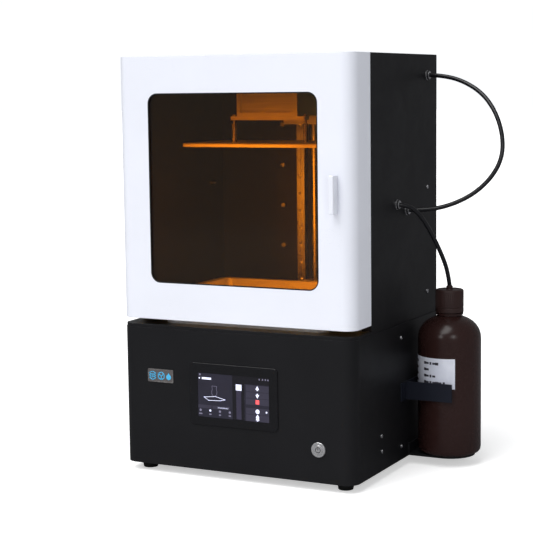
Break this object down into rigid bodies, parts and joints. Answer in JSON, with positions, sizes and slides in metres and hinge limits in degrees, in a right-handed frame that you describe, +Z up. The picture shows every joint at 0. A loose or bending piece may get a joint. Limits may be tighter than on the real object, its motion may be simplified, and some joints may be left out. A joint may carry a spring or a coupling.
{
  "type": "resin printer",
  "caption": "Free-standing resin printer: black steel base with touch display, hinged white door with tinted window over a lifting platform and vat, resin bottle with feed hoses at the side.",
  "frame": {"origin": "on the table, under the middle of the whole object's box without its two free hoses", "axes": "+Z up, +Y towards the back, +X to the right as seen from the front"},
  "size_m": [0.4872, 0.3172, 0.5706],
  "materials": {
    "black_coat": "matte",
    "clamp_coat": "satin",
    "white_coat": "satin",
    "deck_coat": "satin",
    "rubber_black": "matte",
    "hose_black": "satin",
    "aluminium_plain": "satin",
    "steel_bright": "satin",
    "magnet_nickel": "gloss",
    "motor_dark": "satin",
    "nut_brass": "satin",
    "plastic_black": "matte",
    "gloss_black": "gloss",
    "display_glass": "gloss",
    "board_green": "satin",
    "window_orange": "gloss",
    "clear_film": "gloss",
    "mask_dark": "gloss",
    "bottle_brown": "satin",
    "cap_brown": "satin"
  },
  "bodies": {
    "housing": {"base_back_panel": "black_coat", "base_feet": "rubber_black", "base_floor": "black_coat", "base_shell": "black_coat", "bottle": "bottle_brown", "bottle_cap": "cap_brown", "bottle_clamp": "clamp_coat", "bottle_shelf": "black_coat", "bottle_tube": "hose_black", "button_ring": "steel_bright", "cabinet_back": "black_coat", "cabinet_shell": "black_coat", "deck_plate": "deck_coat", "display_bezel": "gloss_black", "display_panel": "display_glass", "fan_frame": "plastic_black", "feed_pipe": "steel_bright", "heatsink": "aluminium_plain", "hinge_fixed_leaves": "black_coat", "hinge_pins": "steel_bright", "housing_screws": "steel_bright", "led_board": "board_green", "lens_plate": "clear_film", "light_frame": "plastic_black", "linear_rails": "steel_bright", "loop_tube": "hose_black", "mainboard": "board_green", "mask_screen": "mask_dark", "power_inlet": "plastic_black", "power_supply": "steel_bright", "pump_housing": "plastic_black", "screw_bearings": "aluminium_plain", "tube_ports": "plastic_black", "usb_port": "steel_bright", "z_column": "black_coat", "z_motor": "motor_dark"},
    "door": {"door_shell": "white_coat", "window_pane": "window_orange", "window_seal": "rubber_black", "door_handle": "white_coat", "hinge_door_leaves": "black_coat", "door_magnets": "magnet_nickel"},
    "carriage": {"rail_blocks": "steel_bright", "carriage_plate": "aluminium_plain", "screw_nut": "nut_brass", "platform_arm": "aluminium_plain", "platform_crossbar": "aluminium_plain", "levelling_posts": "steel_bright", "build_plate": "aluminium_plain"},
    "lift_screw": {"lead_screw": "steel_bright", "shaft_coupler": "aluminium_plain"},
    "platform_knob": {"platform_knob": "plastic_black"},
    "vat": {"vat_body": "aluminium_plain", "vat_film": "clear_film"},
    "vat_knob_left": {"vat_knob_left": "plastic_black"},
    "vat_knob_right": {"vat_knob_right": "plastic_black"},
    "power_button": {"button_cap": "steel_bright"},
    "power_rocker": {"power_rocker": "plastic_black"},
    "fan": {"fan_rotor": "plastic_black"},
    "pump": {"pump_rotor": "plastic_black"}
  },
  "joints": [
    {"name": "door_hinge", "type": "hinge", "parent": "housing", "child": "door", "pos_m": [-0.22125, -0.08635, 0.3916], "axis": [0, 0, -1], "range_deg": [0, 115]},
    {"name": "platform_lift", "type": "slide", "parent": "housing", "child": "carriage", "axis": [0, 0, 1], "range_m": [-0.2395, 0.012]},
    {"name": "screw_spin", "type": "hinge", "parent": "housing", "child": "lift_screw", "pos_m": [-0.04075, 0.11615, 0.3916], "axis": [0, 0, 1], "range_deg": [-870, 17250]},
    {"name": "platform_knob_turn", "type": "hinge", "parent": "carriage", "child": "platform_knob", "pos_m": [-0.04075, -0.01085, 0.5316], "axis": [0, 0, 1], "range_deg": [0, 720]},
    {"name": "vat_lift", "type": "slide", "parent": "housing", "child": "vat", "axis": [0, 0, 1], "range_m": [0, 0.05]},
    {"name": "vat_knob_left_turn", "type": "hinge", "parent": "vat", "child": "vat_knob_left", "pos_m": [-0.17675, -0.02885, 0.2266], "axis": [0, 0, 1], "range_deg": [0, 1080]},
    {"name": "vat_knob_right_turn", "type": "hinge", "parent": "vat", "child": "vat_knob_right", "pos_m": [0.09525, -0.02885, 0.2266], "axis": [0, 0, 1], "range_deg": [0, 1080]},
    {"name": "power_button_press", "type": "slide", "parent": "housing", "child": "power_button", "axis": [0, 1, 0], "range_m": [0, 0.002], "stiffness_N_per_m": 900},
    {"name": "power_rocker_tilt", "type": "hinge", "parent": "housing", "child": "power_rocker", "pos_m": [0.07925, 0.15015, 0.0876], "axis": [1, 0, 0], "range_deg": [-18, 0]},
    {"name": "fan_spin", "type": "hinge", "parent": "housing", "child": "fan", "pos_m": [-0.04075, 0.14015, 0.0736], "axis": [0, 1, 0], "continuous": true},
    {"name": "pump_spin", "type": "hinge", "parent": "housing", "child": "pump", "pos_m": [0.11425, 0.02065, 0.3566], "axis": [1, 0, 0], "continuous": true}
  ],
  "couplings": [
    {"joint": "screw_spin", "follows": "platform_lift", "rad_per_m": -1256.6}
  ]
}
